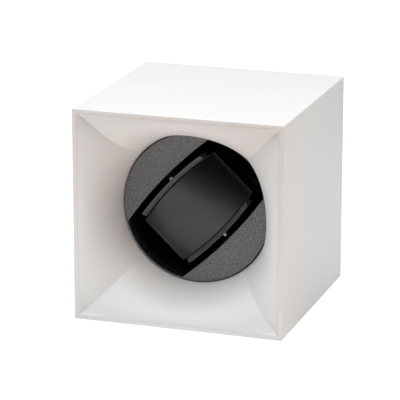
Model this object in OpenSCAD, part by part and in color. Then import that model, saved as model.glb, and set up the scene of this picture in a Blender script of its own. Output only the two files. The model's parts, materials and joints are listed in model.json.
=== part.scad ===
// Watch winder box. A white cube with a square-to-round funnel in front, a slotted black rotor in the
// funnel's throat, a sprung watch holder in the slot, and a geared drive on the rear panel.
// Origin under the middle of the cube, +Z up, front facing -Y. Depths run back from the front plane.

/* [Case] */
// Outer side of the cube
cube_side = 106; // [102:1:130]
// Wall of the square sleeve
case_wall = 2.2; // [1.8:0.1:2.6]
// Rounding of the sleeve's long edges
edge_round = 0.6; // [0.3:0.1:1.2]
// Gap between fixed parts that are pushed together
fit_gap = 0.1; // [0.05:0.05:0.2]
// Radial gap of pressed and screwed round fits
press_gap = 0.02; // [0.01:0.01:0.03]
// Radial gap of round parts that turn or slide in a bore
run_gap = 0.05; // [0.03:0.01:0.1]

/* [Feet] */
// Radius of a foot
foot_r = 5; // [3:0.5:8]
// Thickness of a foot
foot_t = 1.4; // [1:0.1:2]
// Height of a foot below the sleeve
foot_proud = 0.6; // [0.3:0.1:0.8]
// Distance of a foot's centre from the sleeve's outer faces
foot_inset = 12; // [10:1:20]

/* [Funnel] */
// Depth of the funnel, from the front plane to the end of its throat
funnel_depth = 38.5; // [36:0.5:41]
// Wall of the funnel
funnel_wall = 2; // [1.4:0.1:2.4]
// Length of the square skirt against the sleeve
skirt_len = 16; // [8:1:24]
// Wall of the square skirt
skirt_t = 1.8; // [1.2:0.1:2.4]
// Facets along one side of the funnel's mouth
side_steps = 16; // [8:2:18]
// Facets from the mouth to the throat
roll_steps = 13; // [8:1:15]

/* [Rotor] */
// Depth of the rotor's face behind the front plane
rotor_setback = 29.5; // [26:0.5:32]
// Thickness of the face
face_t = 2; // [1.5:0.1:3]
// Overhang of the face past the drum
face_lip = 0.65; // [0.4:0.05:0.9]
// Rim that closes the ends of the slot
rim_w = 0.75; // [0.5:0.05:1.2]
// Wall of the drum
drum_wall = 1.5; // [1:0.1:2.2]
// Back wall of the drum
drum_back_t = 2.4; // [2:0.1:3.5]
// Gap between the drum and the battery tubes
drum_gap = 0.86; // [0.6:0.02:2]
// Gap between the face's edge and the throat
throat_gap = 0.35; // [0.3:0.05:0.8]
// Slant of the slot, seen from the front
slot_angle = 47; // [0:1:90]
// Arc of the face's edge that each cheek spans, beside the slot's width at its middle
cheek_angle = 109.55; // [104.5:0.05:113.5]
// Radius of the slot's bowed edges
bow_r = 213; // [180:1:300]
// Wall on each side of the slot
slot_wall = 1.2; // [0.9:0.1:1.6]
// Half length of the ledge on each slot wall that a peg of the holder rests on
ledge_half = 2.2; // [1.6:0.1:3]
// Depth of that ledge
ledge_t = 4; // [2:0.5:6]
// Gap between the ledge and the side of the holder
ledge_gap = 0.3; // [0.2:0.05:0.5]

/* [Holder] */
// Gap between the holder's rails and the slot's edges
rail_gap = 3.25; // [2.8:0.05:3.6]
// Width of a rail
rail_w = 2.3; // [1.9:0.1:2.6]
// Radius of the rails' bowed outer edges
rail_bow_r = 155; // [120:1:240]
// Height of the rails' outer edges above the rotor's face
rail_proud = 3.4; // [2.8:0.1:4]
// Fall of a rail's sloped top from its outer edge to its inner edge
rail_fall = 1.9; // [1.4:0.1:2.2]
// Radius of a rest peg
peg_r = 1.1; // [0.9:0.05:1.2]
// Length of a rest peg outside its rail
peg_proud = 1.5; // [1.2:0.1:1.8]
// Length of a rest peg inside its rail
peg_hold = 1.8; // [1.2:0.1:1.9]
// Wall between a rest peg and the back of the base
peg_cover = 0.4; // [0.3:0.1:0.6]
// Thickness of the base plate
base_t = 2.2; // [1.6:0.1:3]
// Gap between the pad and the rails and base
pad_gap = 0.2; // [0.1:0.05:0.3]
// Room for the strap between the pad's end and the drum
strap_gap = 8.8; // [8:0.1:10]
// Height of the pad's crown above the rotor's face
pad_proud = 0.9; // [0.6:0.1:1.2]
// Fall of the pad's crown from its middle to where its ends turn down
pad_crown_h = 2.8; // [2.5:0.1:3]
// Thickness of the pad over the base plate
pad_t = 3.6; // [3.2:0.1:4.4]
// Length of the pad's turned-down ends, behind its crown
pad_end_len = 12; // [10:0.5:16]
// Thickness of the pad's turned-down ends
pad_end_t = 4.3; // [3:0.1:5.6]
// Rounding of the pad's ends
pad_round = 1.2; // [0.8:0.1:2.4]
// Room for the clasp between the jaw and the drum's back wall
clasp_room = 10.9; // [9:0.1:14]
// Travel of the sprung jaw
jaw_travel = 8; // [5:0.5:9]
// How far the jaw's ends stay inside the pad's ends
jaw_short = 5.5; // [3:0.5:8]
// How far the jaw's sides stay inside the rails
jaw_inset = 2.6; // [0.6:0.1:4.6]
// Fall of the jaw's round back from its middle to its ends
jaw_crown_h = 4; // [2.8:0.1:4.6]
// Thickness of the jaw at its middle
jaw_t = 6; // [5.5:0.1:7.5]
// Thickness of the jaw's pad
jaw_pad_t = 1.5; // [1:0.1:2]
// Distance of each guide pin from the jaw's end
pin_inset = 8; // [6:0.5:11]
// Diameter of a guide pin
pin_d = 3; // [2.5:0.1:3.5]
// Width of the shoulder of a guide pin's head
pin_head_w = 0.5; // [0.4:0.1:0.8]
// Length of a guide pin's head
pin_head_t = 2; // [1.5:0.1:3]
// Wall of a guide sleeve
guide_wall = 1.1; // [0.8:0.1:1.4]
// Lip at the end of a guide sleeve, which holds the pin's head
guide_lip = 1.5; // [1:0.1:2]
// Diameter of the spring wire
wire_d = 0.9; // [0.7:0.1:1.1]
// Turns of a holder spring
spring_turns = 8; // [6:1:9]

/* [Drive] */
// Diameter of the rotor's shaft
shaft_d = 6; // [5:0.5:7]
// Length of the shaft behind the clip
shaft_tail = 1.5; // [1:0.1:2]
// Wall of the bearing bush
bush_wall = 2; // [1.5:0.1:2.5]
// Width of the bush's flange past the bush
flange_w = 2; // [1.5:0.1:3]
// Thickness of the bush's flange
flange_t = 1.2; // [1:0.1:2]
// Length of the bush behind the chassis plate
bush_len = 8; // [6:0.5:8.5]
// Thickness of the thrust washer
washer_t = 0.8; // [0.5:0.1:1]
// End float of the rotor
end_float = 0.1; // [0.05:0.05:0.2]
// Thickness of the shaft clip
clip_t = 0.8; // [0.6:0.1:1]
// How far the gear's pitch circle lies inside the drum
gear_step = 6.8; // [6:0.1:10]
// Teeth of the rotor's gear
gear_z = 75; // [65:1:75]
// Teeth of the pinion
pinion_z = 15; // [14:1:17]
// Width of the gear
gear_w = 4; // [3:0.5:5]
// Play between the teeth
backlash = 0.3; // [0.25:0.05:0.4]
// Stand-off between the drum and the gear
gear_stand = 1; // [0.8:0.1:1.5]
// Radius of the drum's seat for the gear
gear_seat_r = 18; // [16:1:20]
// Direction of the motor from the rotor's axis
motor_angle = 45; // [40:1:50]
// Diameter of the motor
motor_d = 24; // [20:1:26]
// Length of the motor
motor_len = 12; // [10:0.5:13]
// Diameter of the motor's shaft
motor_shaft_d = 3; // [2:0.5:3]
// Gap between the motor and the rear panel
motor_gap = 0.6; // [0.4:0.1:1]
// Distance of each motor screw from the motor's axis
motor_screw_at = 8.5; // [7.5:0.1:9]
// Thickness of the chassis plate
plate_t = 2.5; // [2:0.1:3]
// Distance of each chassis pillar from the panel's edge
pillar_edge = 12.7; // [10.7:0.1:13.7]
// Radius of a chassis pillar
pillar_r = 3.6; // [3:0.1:4]

/* [Rear] */
// Thickness of the rear panel
panel_t = 2.4; // [2:0.1:3]
// Depth of the recess behind the rear panel
rear_recess = 2.6; // [2.3:0.1:3]
// Radius of a screw boss in the sleeve
boss_r = 3.6; // [3.2:0.1:4]
// Length of a screw boss in the sleeve
boss_len = 14; // [12:1:18]
// Distance of the lower bosses from the middle
low_boss_x = 14; // [11:0.5:16]
// Diameter of a battery cell
cell_d = 26.2; // [24:0.1:26.2]
// Length of a battery cell with its nub
cell_len = 50; // [40:1:51]
// Gap around a cell in its tube
cell_gap = 0.2; // [0.15:0.05:0.3]
// Wall of a battery tube
tube_wall = 0.8; // [0.6:0.1:0.9]
// Length of a coil contact in a tube
coil_len = 3.6; // [3:0.1:4.5]
// Thickness of the battery door
door_t = 2.2; // [2:0.1:2.4]
// Gap around the battery door
door_gap = 0.2; // [0.15:0.05:0.4]
// Diameter of the door's hinge pins
hinge_d = 1.2; // [1:0.1:1.2]
// Width of a hinge ear
ear_w = 1.8; // [1.5:0.1:2.4]
// Height of a hinge ear above the hinge pin's edge of the door
ear_rise = 0.3; // [0.2:0.1:0.5]
// Margin of the door past the battery tubes
door_margin = 1.6; // [1:0.1:3]
// Radius of the finger notch in the door
notch_r = 7; // [5:0.5:9]
// Thickness of the bridge contact on the door
strip_t = 0.5; // [0.4:0.1:0.7]
// Width of the bridge contact
strip_w = 9; // [6:0.5:12]
// Radius of a contact dome on the door
dome_r = 4; // [3:0.5:6]
// Height of a contact dome on the door
dome_h = 1.4; // [1:0.1:2]
// Gap between a contact dome and its cell
contact_gap = 0.2; // [0.1:0.05:0.4]
// Floor of a battery tube
tube_floor = 1.2; // [0.8:0.1:1.6]
// Gap between the door and the rear panel
door_seat = 0.1; // [0.05:0.05:0.2]
// Distance of each snap tongue of the door from the middle
catch_at = 20; // [16:1:24]
// Width of a snap tongue
catch_w = 9; // [6:0.5:12]
// Thickness of a snap tongue
catch_t = 1.2; // [1:0.1:1.5]
// Length of a snap tongue
catch_len = 1.8; // [1.2:0.1:2.2]
// Gap around a snap tongue in its slot
catch_gap = 0.5; // [0.4:0.1:0.6]
// Room under the door's hinge edge
hinge_room = 0.6; // [0.5:0.1:1]

/* [Board] */
// Width and height of the circuit board
board_size = 26; // [24:1:28]
// Gap between the board and the sleeve's screw boss
board_room = 1.6; // [0.6:0.1:2.6]
// Thickness of the board
board_t = 1.6; // [1.2:0.1:2]
// Gap between the board and the rear panel
board_stand = 5.6; // [5.2:0.1:6]
// Distance of the board's screws from its edges
board_inset = 3; // [2.6:0.1:3.5]
// Radius of a board standoff
standoff_r = 2.4; // [2:0.1:2.6]
// Distance of switch and socket from the board's middle
part_at = 6; // [5.5:0.1:6.5]
// Side of the switch body
switch_side = 6; // [5:0.5:7]
// Height of the switch body
switch_h = 3.4; // [3:0.1:3.6]
// Diameter of the switch plunger
plunger_d = 3.4; // [3:0.1:3.8]
// Travel of the mode button
button_travel = 0.5; // [0.3:0.1:0.6]
// Diameter of the mode button
button_d = 8; // [6:0.5:9]
// Height of the mode button above the rear panel
button_proud = 1.2; // [0.8:0.1:2]
// Diameter of the power socket's snout
snout_d = 8; // [7.5:0.5:9]
// Bore of the power socket
socket_bore = 5.6; // [5:0.1:6]
// Diameter of the socket's pin
socket_pin_d = 2; // [1.6:0.1:2.5]
// Depth of the socket's bore
socket_deep = 6; // [5:0.5:7]

/* [Hidden] */
$fn = 96;

// Finishes as the photograph shows them
white_shell = [0.93, 0.91, 0.89];
black_grain = [0.2, 0.2, 0.205];
black_satin = [0.14, 0.14, 0.145];
black_dull = [0.08, 0.08, 0.085];
bright_steel = [0.75, 0.76, 0.78];
yellow_brass = [0.78, 0.64, 0.32];
board_green = [0.1, 0.3, 0.18];
cell_brown = [0.55, 0.42, 0.2];

// Overshoot of a cut past the face it opens, and depth to which joined shapes run into each other
over = 1;
merge = 0.5;

// Case: height of the rotor's axis and the sleeve's inside
axis_z = foot_proud + cube_side / 2;
half_in = cube_side / 2 - case_wall;
half_fit = half_in - fit_gap;

// Battery tubes fill the lower corners, and the drum fills what they leave free
cell_hole_r = cell_d / 2 + cell_gap;
tube_r = cell_hole_r + tube_wall;
tube_at = half_fit - tube_r;
drum_r = tube_at * sqrt(2) - tube_r - drum_gap;
drum_in = drum_r - drum_wall;
face_r = drum_r + face_lip;
throat_r = face_r + throat_gap;
slot_end_r = face_r - rim_w;
slot_half = face_r * cos(cheek_angle / 2);
slot_shift = bow_r - slot_half;

// Depths, worked out from the rear panel forwards
panel_back = cube_side - rear_recess;
panel_front = panel_back - panel_t;
plate_back = panel_front - motor_gap - motor_len;
plate_front = plate_back - plate_t;
bush_front = plate_front - flange_t;
bush_back = plate_back + bush_len;
gear_back = bush_front - end_float - washer_t;
gear_front = gear_back - gear_w;
drum_back = gear_front - gear_stand;
pocket_back = drum_back - drum_back_t;
face_back = rotor_setback + face_t;
clip_front = bush_back + end_float;
shaft_back = clip_front + clip_t + shaft_tail;

// Door, its hinge line, and the cells between the door's contacts and the coils in the tubes
door_front = panel_back + door_seat;
door_back = door_front + door_t;
hinge_y = -half_fit + door_t / 2 + hinge_room;
hinge_depth = (door_front + door_back) / 2;
door_half = half_in - door_gap;
hinge_half = half_fit - ear_w - door_gap;
ear_top = door_t / 2 + ear_rise;
ear_clear = ear_top + 3 * door_gap;
door_top = tube_r - tube_at + door_margin;
catch_margin = 0.8;
nub_r = 3;
nub_h = 1.5;
cell_back = door_front - dome_h - contact_gap;
cell_front = cell_back - cell_len;
tube_front = cell_front - coil_len - tube_floor;

// Places of the sleeve's screw bosses and of the tubes, seen from the front
boss_at = half_in - boss_r;
boss_front = panel_front - boss_len;
bosses = [[boss_at, boss_at], [-boss_at, boss_at], [low_boss_x, -boss_at], [-low_boss_x, -boss_at]];
tubes = [[tube_at, -tube_at], [-tube_at, -tube_at]];

// Holder: half widths at its middle, and depths
jaw_stop_gap = 0.5;
coil_room = 0.3;
pad_bead = 0.15;
pin_seat = 2.5;
guide_sunk = 1;
jaw_lip = 1;
rail_out = slot_half - rail_gap;
rail_in = rail_out - rail_w;
rail_shift = rail_bow_r - rail_out;
pad_side = rail_in - pad_gap;
pad_half = drum_in - strap_gap;
pad_in = pad_half - pad_end_t;
rail_half = pad_in - pad_gap;
pad_crown_r = crown_r(pad_half - pad_round, pad_crown_h);
rail_front = rotor_setback - rail_proud;
pad_front = rotor_setback - pad_proud;
pad_back = pad_front + pad_t;
base_front = pad_back + pad_gap;
base_back = base_front + base_t;
rail_h = base_front + merge - rail_front;
peg_depth = base_back - peg_cover - peg_r;
ledge_front = peg_depth + peg_r + fit_gap;
jaw_crest = pocket_back - clasp_room - jaw_pad_t;
jaw_front = jaw_crest - jaw_t;
jaw_half = pad_half - jaw_short;
jaw_side = rail_in - jaw_inset;
jaw_crown_r = crown_r(jaw_half, jaw_crown_h);
pin_at = jaw_half - pin_inset;
guide_back = jaw_front - jaw_travel - jaw_stop_gap;
head_r = pin_d / 2 + pin_head_w;
guide_in = head_r + run_gap;
guide_r = guide_in + guide_wall;
head_back = guide_back - guide_lip - run_gap;
coil_r = guide_r + wire_d / 2 + coil_room;
spring_len = jaw_front - base_back - 2 * fit_gap;

// Radius of an arc that falls by the given height at the given distance from its middle
function crown_r(half, fall) = (half * half + fall * fall) / (2 * fall);

// Drive: gear sizes and places
hub_wall = 2.6;
hub_short = 0.4;
plate_rim = 4;
arm_rim = 1.6;
arm_step = 0.6;
motor_rim = 1;
motor_boss_wall = 2.5;
motor_shaft_in = 5;
motor_screw_in = 3;
blind_room = 1;
groove_deep = 0.6;
clip_w = 2;
clip_play = 0.05;
gear_rim = 3.5;
press_angle = 20;
tooth_m = 2 * (drum_r - gear_step) / gear_z;
addendum = 0.85 * tooth_m;
dedendum = 1.2 * tooth_m;
gear_pr = tooth_m * gear_z / 2;
pinion_pr = tooth_m * pinion_z / 2;
motor_at = (gear_pr + pinion_pr) * [cos(motor_angle), sin(motor_angle)];
shaft_r = shaft_d / 2;
bush_r = shaft_r + run_gap + bush_wall;
hub_r = bush_r + press_gap + hub_wall;
motor_boss_r = motor_shaft_d / 2 + motor_boss_wall;
shaft_in_back = plate_back + motor_shaft_in;
screw_in_back = plate_back + motor_screw_in;
groove_r = shaft_r - groove_deep;
pillars = (half_fit - pillar_edge) * [[1, 0], [0, 1], [-1, 0], [0, -1]];

// Screws: shank radius, head radius and head height
small_screw = [0.9, 1.8, 1.3];
frame_screw = [1.1, 2.2, 1.5];
case_screw = [1.3, 2.7, 1.5];
head_edge = 0.3;
screw_room = 2;
frame_screw_in = 6;
board_screw_in = 4;
gear_screw_at = gear_seat_r - 5;
gear_screw_len = gear_w + gear_stand + drum_back_t / 2;
hole_r = 4.5;

// Board: places of its parts, in front of the rear panel
board_back = panel_front - board_stand;
board_front = board_back - board_t;
board_at = boss_at - boss_r - board_room - board_size / 2;
board_x = -board_at;
switch_x = board_x + part_at;
socket_x = board_x - part_at;
board_half = board_size / 2 - board_inset;
button_flange = 1;
switch_floor = 0.4;
press_room = 0.1;
socket_wall = 1;
socket_pin_in = 1;
socket_pin_short = 0.8;
plunger_back = board_back + switch_h + button_travel + press_room;
button_front = plunger_back;

// Placing: a drawing seen from the front (x right, y up) with its back at the given depth,
// so that an extrusion grows towards the front
module facing(depth) {
    translate([0, depth - cube_side / 2, axis_z])
        rotate([90, 0, 0])
            children();
}

// A flat outline made solid between two depths
module slab(front, back) {
    facing(back)
        linear_extrude(back - front)
            children();
}

// A round bar along the depth
module bar(r, front, back, at = [0, 0]) {
    facing(back)
        translate([at[0], at[1], 0])
            cylinder(r = r, h = back - front);
}

// A tube along the depth
module sleeve(r_out, r_in, front, back, at = [0, 0]) {
    slab(front, back)
        translate(at)
            difference() {
                circle(r_out);
                circle(r_in);
            }
}

// The slot's own directions: x along the slot, y across it
module along_slot() {
    rotate(slot_angle)
        children();
}

// A square with rounded corners
module round_square(side, r) {
    square([side - 2 * r, side], center = true);
    square([side, side - 2 * r], center = true);
    for (x = [-1, 1], y = [-1, 1])
        translate([x, y] * (side / 2 - r))
            circle(r, $fn = 32);
}

// A strip along the slot whose two edges bow outwards, given its half width at the middle and how far
// beyond the middle the bows' centres lie
module band(half, shift) {
    intersection_for (s = [-1, 1])
        translate([0, s * shift])
            circle(shift + half, $fn = 360);
}

// A screw whose head lies in front of its seat, at the given depth
module pan_screw(size, seat, len, at) {
    bar(size[0], seat, seat + len, at);
    difference() {
        bar(size[1], seat - size[2], seat, at);
        slab(seat - size[2] - over, seat - size[2] / 2)
            translate(at)
                cross_slot(size[1]);
    }
}

// The driver's cross in a screw head
module cross_slot(head_r) {
    for (a = [0, 90])
        rotate(a)
            square([head_r * 1.2, head_r * 0.25], center = true);
}

// Points of the funnel: the square mouth runs into the round throat in step with sin(roll), while the
// depth follows 1 - cos(roll), so each face rolls in from the front plane and ends along the axis
function mouth_point(k, half) =
    let (side = floor(k / side_steps), v = (k % side_steps) / side_steps * 2 - 1)
    turned([half, half * v], 90 * side);
function throat_point(k, r) = turned([r, 0], 90 * k / side_steps - 45);
function turned(p, a) = [p[0] * cos(a) - p[1] * sin(a), p[0] * sin(a) + p[1] * cos(a)];
function rolled(k, roll, half, r, front) =
    let (p = mouth_point(k, half) * (1 - sin(roll)) + throat_point(k, r) * sin(roll))
    [p[0], p[1], -front - (funnel_depth - front) * (1 - cos(roll))];

// One closed section of the funnel at facet k: rolled face, its back, and the square skirt
function funnel_section(k) = concat(
    [for (i = [0 : roll_steps]) rolled(k, 90 * i / roll_steps, half_fit, throat_r, 0)],
    [for (i = [roll_steps : -1 : 0])
        rolled(k, 90 * i / roll_steps, half_fit - skirt_t, throat_r + funnel_wall, funnel_wall)],
    [for (half = [half_fit - skirt_t, half_fit]) [each mouth_point(k, half), -skirt_len]]
);

// White funnel in the front of the sleeve
module front_funnel() {
    rounds = 4 * side_steps;
    ring = 2 * roll_steps + 4;
    points = [for (k = [0 : rounds - 1]) each funnel_section(k)];
    faces = [
        for (k = [0 : rounds - 1], i = [0 : ring - 1])
            let (
                a = k * ring + i,
                b = k * ring + (i + 1) % ring,
                c = (k + 1) % rounds * ring + (i + 1) % ring,
                d = (k + 1) % rounds * ring + i
            )
            each [[a, b, c], [a, c, d]]
    ];
    color(white_shell)
        facing(0)
            polyhedron(points, faces, convexity = 6);
}

// White square sleeve with the bosses that the rear panel is screwed to
module cube_sleeve() {
    color(white_shell)
        difference() {
            union() {
                slab(0, cube_side)
                    difference() {
                        round_square(cube_side, edge_round);
                        square(2 * half_in, center = true);
                    }
                for (p = bosses)
                    slab(boss_front, panel_front)
                        boss_outline(p);
            }
            for (p = bosses)
                bar(case_screw[0] + press_gap, boss_front + screw_room / 2, panel_front + over, p);
            for (x = [-1, 1], y = [-1, 1])
                translate([x, y, 0] * (cube_side / 2 - foot_inset))
                    cylinder(r = foot_r + press_gap, h = foot_t);
        }
}

// A boss and the webs that join it to the nearest walls
module boss_outline(p) {
    side = sign(p[1]);
    corner = abs(p[0]) == boss_at;
    translate(p) {
        circle(boss_r);
        translate([-boss_r, side > 0 ? 0 : -boss_r - merge])
            square([2 * boss_r, boss_r + merge]);
        if (corner)
            translate([p[0] > 0 ? 0 : -boss_r - merge, -boss_r])
                square([boss_r + merge, 2 * boss_r]);
    }
}

// Thin rubber feet in their pockets
module rubber_feet() {
    color(black_dull)
        for (x = [-1, 1], y = [-1, 1])
            translate([x, y, 0] * (cube_side / 2 - foot_inset))
                cylinder(r = foot_r, h = foot_t);
}

// Black rear panel with the pillars, the board's standoffs and the hinge ears
module rear_panel() {
    color(black_satin)
        difference() {
            union() {
                slab(panel_front, panel_back)
                    square(2 * half_fit, center = true);
                for (p = pillars)
                    bar(pillar_r, plate_back, panel_front + merge, p);
                for (p = board_corners())
                    bar(standoff_r, board_back, panel_front + merge, p);
                for (s = [-1, 1])
                    hinge_ear(s);
            }
            for (p = pillars)
                bar(frame_screw[0] + press_gap, plate_back - over, panel_front - blind_room, p);
            for (p = board_corners())
                bar(small_screw[0] + press_gap, board_back - over, panel_front - blind_room, p);
            for (p = tubes)
                bar(cell_hole_r, panel_front - over, panel_back + over, p);
            for (p = bosses)
                flat_screw(case_screw, panel_back, panel_t + boss_len, p, press_gap);
            slab(panel_front - over, panel_back + over)
                catch_outline(catch_gap);
            bar(button_d / 2 + run_gap, panel_front - over, panel_back + over, [switch_x, board_at]);
            bar(snout_d / 2 + fit_gap, panel_front - over, panel_back + over, [socket_x, board_at]);
        }
}

// Places of the board's four screws
function board_corners() = [
    for (x = [-1, 1], y = [-1, 1]) [board_x + x * board_half, board_at + y * board_half]
];

// An ear of the door's hinge, bored for the hinge pin
module hinge_ear(side) {
    x_in = half_fit - ear_w;
    translate([side > 0 ? x_in : -half_fit, 0, 0])
        rotate([90, 0, 90])
            linear_extrude(ear_w)
                difference() {
                    translate([panel_back - merge - cube_side / 2, axis_z + hinge_y - door_t / 2])
                        square([door_back - panel_back + merge, door_t / 2 + ear_top]);
                    translate([hinge_depth - cube_side / 2, axis_z + hinge_y])
                        circle(hinge_d / 2 + run_gap, $fn = 32);
                }
}

// A countersunk screw whose head is flush with the given depth and whose tip points to the front
module flat_screw(size, head_back, len, at, grow) {
    shank = size[0] + grow;
    head = size[1] + grow;
    facing(head_back)
        translate([at[0], at[1], 0])
            rotate_extrude($fn = 48)
                polygon([[0, 0], [head, 0], [head, head_edge], [shank, size[2]], [shank, len], [0, len]]);
}

// The driver's cross in a head that faces the rear
module rear_cross(size, head_back, at) {
    slab(head_back - size[2] / 2, head_back + over)
        translate(at)
            cross_slot(size[1]);
}

// Screws that hold the rear panel to the sleeve
module case_screws() {
    color(bright_steel)
        for (p = bosses)
            difference() {
                flat_screw(case_screw, panel_back, panel_t + boss_len - screw_room, p, 0);
                rear_cross(case_screw, panel_back, p);
            }
}

// Plate that carries the bearing and the motor, on the panel's pillars
module chassis_frame() {
    color(black_dull)
        difference() {
            union() {
                slab(plate_front, plate_back) {
                    circle(gear_seat_r + plate_rim);
                    for (p = pillars)
                        arm_to(p, pillar_r + arm_rim);
                    arm_to(motor_at, motor_d / 2 + motor_rim);
                }
                bar(hub_r, plate_back - merge, bush_back - hub_short);
            }
            bar(bush_r + press_gap, plate_front - over, bush_back + over);
            for (p = pillars)
                bar(frame_screw[0] + 2 * fit_gap, plate_front - over, plate_back + over, p);
            bar(motor_boss_r + fit_gap, plate_front - over, plate_back + over, motor_at);
            for (p = motor_screw_places())
                bar(small_screw[0] + 2 * fit_gap, plate_front - over, plate_back + over, p);
        }
}

// A flat arm from the middle to a place, with a round end a little wider than the arm
module arm_to(p, r) {
    half = r - arm_step;
    translate(p)
        circle(r);
    rotate(atan2(p[1], p[0]))
        translate([0, -half])
            square([norm(p), 2 * half]);
}

// Places of the two motor screws, across the line to the rotor's axis
function motor_screw_places() = [
    for (s = [-1, 1]) motor_at + s * motor_screw_at * [-sin(motor_angle), cos(motor_angle)]
];

// Screws that hold the plate to the pillars
module frame_screws() {
    color(bright_steel)
        for (p = pillars)
            pan_screw(frame_screw, plate_front, plate_t + frame_screw_in, p);
}

// Flanged bush that the rotor's shaft turns in
module rotor_bearing() {
    color(yellow_brass)
        facing(bush_back)
            rotate_extrude()
                translate([shaft_r + run_gap, 0])
                    union() {
                        square([bush_wall, bush_back - bush_front]);
                        translate([0, bush_back - bush_front - flange_t])
                            square([bush_wall + flange_w, flange_t]);
                    }
}

// Flat gear motor behind the plate
module drive_motor() {
    color(bright_steel)
        difference() {
            union() {
                bar(motor_d / 2, plate_back, plate_back + motor_len, motor_at);
                bar(motor_boss_r, plate_front + merge, plate_back + merge, motor_at);
            }
            bar(motor_shaft_d / 2 + run_gap, plate_front, shaft_in_back + blind_room, motor_at);
            for (p = motor_screw_places())
                bar(small_screw[0] + press_gap, plate_back - over, screw_in_back + blind_room, p);
        }
}

// Screws that hold the motor to the plate
module motor_screws() {
    color(bright_steel)
        for (p = motor_screw_places())
            pan_screw(small_screw, plate_front, plate_t + motor_screw_in, p);
}

// Circuit board on the rear panel's standoffs
module control_board() {
    color(board_green)
        slab(board_front, board_back)
            difference() {
                translate([board_x, board_at])
                    square(board_size, center = true);
                for (p = board_corners())
                    translate(p)
                        circle(small_screw[0] + fit_gap, $fn = 32);
            }
}

// Screws that hold the board
module board_screws() {
    color(bright_steel)
        for (p = board_corners())
            pan_screw(small_screw, board_front, board_t + board_screw_in, p);
}

// Body of the push switch on the board
module tact_switch() {
    color(black_dull)
        difference() {
            slab(board_back, board_back + switch_h)
                translate([switch_x, board_at])
                    square(switch_side, center = true);
            bar(plunger_d / 2 + run_gap, board_back + switch_floor, plunger_back, [switch_x, board_at]);
        }
}

// Plunger of the switch, which moves with the button
module switch_plunger() {
    color(bright_steel)
        bar(plunger_d / 2, board_back + switch_floor + button_travel + press_room, plunger_back,
            [switch_x, board_at]);
}

// Push button in the rear panel, kept in by its flange
module mode_button() {
    at = [switch_x, board_at];
    color(black_dull) {
        bar(button_d / 2, button_front, panel_back + button_proud, at);
        bar(button_d / 2 + button_flange, button_front, panel_front - fit_gap, at);
    }
}

// Round power inlet, its snout flush with the rear panel
module power_socket() {
    at = [socket_x, board_at];
    color(black_dull)
        difference() {
            union() {
                slab(board_back, panel_front - fit_gap)
                    translate(at)
                        square(snout_d + socket_wall, center = true);
                bar(snout_d / 2, panel_front - merge, panel_back, at);
            }
            bar(socket_bore / 2, panel_back - socket_deep, panel_back + over, at);
            bar(socket_pin_d / 2 + press_gap, panel_back - socket_deep - socket_pin_in, panel_back, at);
        }
}

// Contact pin in the power inlet
module socket_pin() {
    color(bright_steel)
        bar(socket_pin_d / 2, panel_back - socket_deep - socket_pin_in, panel_back - socket_pin_short,
            [socket_x, board_at]);
}

// Two cups for the cells, butted against the rear panel
module battery_tubes() {
    color(black_dull)
        for (p = tubes) {
            sleeve(tube_r, cell_hole_r, tube_front, panel_front, p);
            bar(cell_hole_r + tube_wall / 2, tube_front, tube_front + tube_floor, p);
        }
}

// Two cells, one nub forwards and one nub back
module battery_cells() {
    color(cell_brown)
        for (s = [0, 1]) {
            bar(cell_d / 2, cell_front + s * nub_h, cell_back - (1 - s) * nub_h, tubes[s]);
            bar(nub_r, cell_front + s * merge / 2, cell_back - (1 - s) * merge / 2, tubes[s]);
        }
}

// Coils: facets round the wire and along one turn, and the taper of the cells' coil contacts
coil_sides = 6;
turn_steps = 8;
cell_coil_r = [3.4, 7];
cell_turns = 3;

// Least gap of a coil to itself: points of its middle line at least half a turn apart, less the wire
function coil_line(r0, r1, rise, turns) =
    let (steps = turn_steps * turns)
    [
        for (i = [0 : steps])
            let (a = 360 * turns * i / steps, r = r0 + (r1 - r0) * i / steps)
            [r * cos(a), r * sin(a), rise * i / steps]
    ];
function least_gap(line, wire) = min([
    for (i = [0 : len(line) - 1], j = [i + turn_steps / 2 : 1 : len(line) - 1])
        norm(line[i] - line[j]) - wire
]);
holder_line = coil_line(coil_r, coil_r, spring_len - wire_d, spring_turns);
cell_line = coil_line(cell_coil_r[0], cell_coil_r[1], coil_len - 2 * fit_gap - wire_d, cell_turns);
echo(holder_spring_gap = least_gap(holder_line, wire_d));
echo(cell_spring_gap = least_gap(cell_line, wire_d));

// Points of a coil of round wire: rings along a helix whose radius may taper
function coil_points(r0, r1, wire, len, turns, steps) = [
    for (i = [0 : steps], j = [0 : coil_sides - 1])
        let (a = 360 * turns * i / steps, b = 360 * j / coil_sides, r = r0 + (r1 - r0) * i / steps)
        [
            (r + wire / 2 * cos(b)) * cos(a),
            (r + wire / 2 * cos(b)) * sin(a),
            wire / 2 + (len - wire) * i / steps + wire / 2 * sin(b)
        ]
];

// A coil as one unbroken tube with closed ends
module coil(r0, r1, wire, len, turns) {
    steps = turn_steps * turns;
    points = coil_points(r0, r1, wire, len, turns, steps);
    last = steps * coil_sides;
    faces = concat(
        [[for (j = [0 : coil_sides - 1]) j]],
        [
            for (i = [0 : steps - 1], j = [0 : coil_sides - 1])
                let (
                    a = i * coil_sides + j,
                    b = i * coil_sides + (j + 1) % coil_sides
                )
                each [[a, a + coil_sides, b + coil_sides], [a, b + coil_sides, b]]
        ],
        [[for (j = [coil_sides - 1 : -1 : 0]) last + j]]
    );
    polyhedron(points, faces, convexity = 10);
}

// Coil contacts at the bottom of the battery tubes
module cell_springs() {
    color(bright_steel)
        for (p = tubes)
            facing(cell_front - fit_gap)
                translate([p[0], p[1], 0])
                    coil(cell_coil_r[0], cell_coil_r[1], wire_d, coil_len - 2 * fit_gap, cell_turns);
}

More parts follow.
